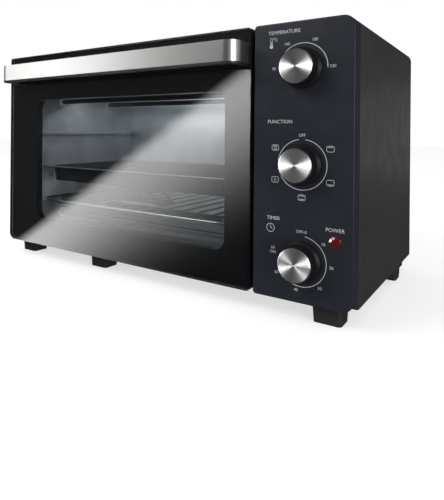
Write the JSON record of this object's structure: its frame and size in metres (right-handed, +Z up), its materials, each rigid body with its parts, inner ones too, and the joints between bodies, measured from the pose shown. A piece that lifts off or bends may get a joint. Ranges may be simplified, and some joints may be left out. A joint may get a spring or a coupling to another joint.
{
  "type": "toaster oven",
  "caption": "Black worktop mini oven with a drop-down glass door, full-width bar handle, turning dials on the right, sliding tray and wire rack.",
  "frame": {"origin": "centre of the overall box in plan, at the level of the surface that the feet stand on", "axes": "+Z up, -Y out of the door towards the cook, +X to the right seen from the front"},
  "size_m": [0.45, 0.274, 0.258],
  "materials": {
    "housing_paint": "fine satin powder coat",
    "cavity_steel": "dull aluminised sheet",
    "zinc_sheet": "plain galvanised sheet",
    "panel_plastic": "blue-black, low sheen",
    "frame_plastic": "gloss black behind the glass",
    "door_pane": "clear, slightly smoked",
    "handle_plastic": "black",
    "handle_steel": "grain along the handle",
    "knob_plastic": "black, slight sheen",
    "spun_cap": "spun rings",
    "bright_steel": "bright zinc plate",
    "switch_case": "cream moulding",
    "lamp_red": "clear red dome",
    "element_sheath": "dull grey sheath",
    "white_ceramic": "unglazed",
    "foot_plastic": "black",
    "gland_rubber": "black",
    "tray_enamel": "gloss black enamel",
    "rack_chrome": "bright wire"
  },
  "bodies": {
    "cabinet": {"outer_housing": "housing_paint", "back_panel": "housing_paint", "front_frame": "housing_paint", "cavity_left_wall": "cavity_steel", "cavity_right_wall": "cavity_steel", "cavity_roof": "cavity_steel", "cavity_floor": "cavity_steel", "cavity_back": "cavity_steel", "rack_rails_left": "cavity_steel", "rack_rails_right": "cavity_steel", "base_plate": "zinc_sheet", "heat_shield": "zinc_sheet", "hinge_bracket_left": "zinc_sheet", "hinge_bracket_right": "zinc_sheet", "thermostat": "zinc_sheet", "control_panel": "panel_plastic", "foot_screws": "bright_steel", "back_panel_screws": "bright_steel", "timer_bell": "bright_steel", "selector_switch": "switch_case", "timer_mechanism": "switch_case", "power_lamp_holder": "switch_case", "terminal_block": "switch_case", "power_lamp_lens": "lamp_red", "upper_front_element": "element_sheath", "upper_rear_element": "element_sheath", "lower_front_element": "element_sheath", "lower_rear_element": "element_sheath", "element_bushings": "white_ceramic", "foot_front_left": "foot_plastic", "foot_front_middle": "foot_plastic", "foot_front_right": "foot_plastic", "foot_rear_left": "foot_plastic", "foot_rear_right": "foot_plastic", "cord_gland": "gland_rubber"},
    "door": {"door_glass": "door_pane", "door_frame": "frame_plastic", "door_inner_panel": "zinc_sheet", "door_pin_left": "bright_steel", "door_pin_right": "bright_steel", "door_arm_left": "zinc_sheet", "door_arm_right": "zinc_sheet", "handle_body": "handle_plastic", "handle_plate": "handle_steel", "handle_screws": "bright_steel"},
    "temperature_control": {"temperature_knob": "knob_plastic", "temperature_knob_cap": "spun_cap", "temperature_shaft": "bright_steel"},
    "function_control": {"function_knob": "knob_plastic", "function_knob_cap": "spun_cap", "function_shaft": "bright_steel"},
    "timer_control": {"timer_knob": "knob_plastic", "timer_knob_cap": "spun_cap", "timer_shaft": "bright_steel"},
    "tray": {"baking_tray": "tray_enamel"},
    "rack": {"wire_rack": "rack_chrome", "tray_handle": "rack_chrome"}
  },
  "joints": [
    {"name": "door_hinge", "type": "hinge", "parent": "cabinet", "child": "door", "pos_m": [0, -0.1025, 0.0215], "axis": [1, 0, 0], "range_deg": [0, 85]},
    {"name": "temperature_turn", "type": "hinge", "parent": "cabinet", "child": "temperature_control", "pos_m": [0.1816, -0.112, 0.217], "axis": [0, 1, 0], "range_deg": [0, 180]},
    {"name": "function_turn", "type": "hinge", "parent": "cabinet", "child": "function_control", "pos_m": [0.1816, -0.112, 0.135], "axis": [0, 1, 0], "range_deg": [0, 300]},
    {"name": "timer_turn", "type": "hinge", "parent": "cabinet", "child": "timer_control", "pos_m": [0.1816, -0.112, 0.053], "axis": [0, 1, 0], "range_deg": [0, 285]},
    {"name": "tray_slide", "type": "slide", "parent": "cabinet", "child": "tray", "axis": [0, -1, 0], "range_m": [0, 0.095]},
    {"name": "rack_slide", "type": "slide", "parent": "cabinet", "child": "rack", "axis": [0, -1, 0], "range_m": [0, 0.0595]}
  ],
  "couplings": [
    {"joint": "tray_slide", "follows": "door_hinge", "m_per_rad": 0.064},
    {"joint": "rack_slide", "follows": "door_hinge", "m_per_rad": 0.04}
  ]
}
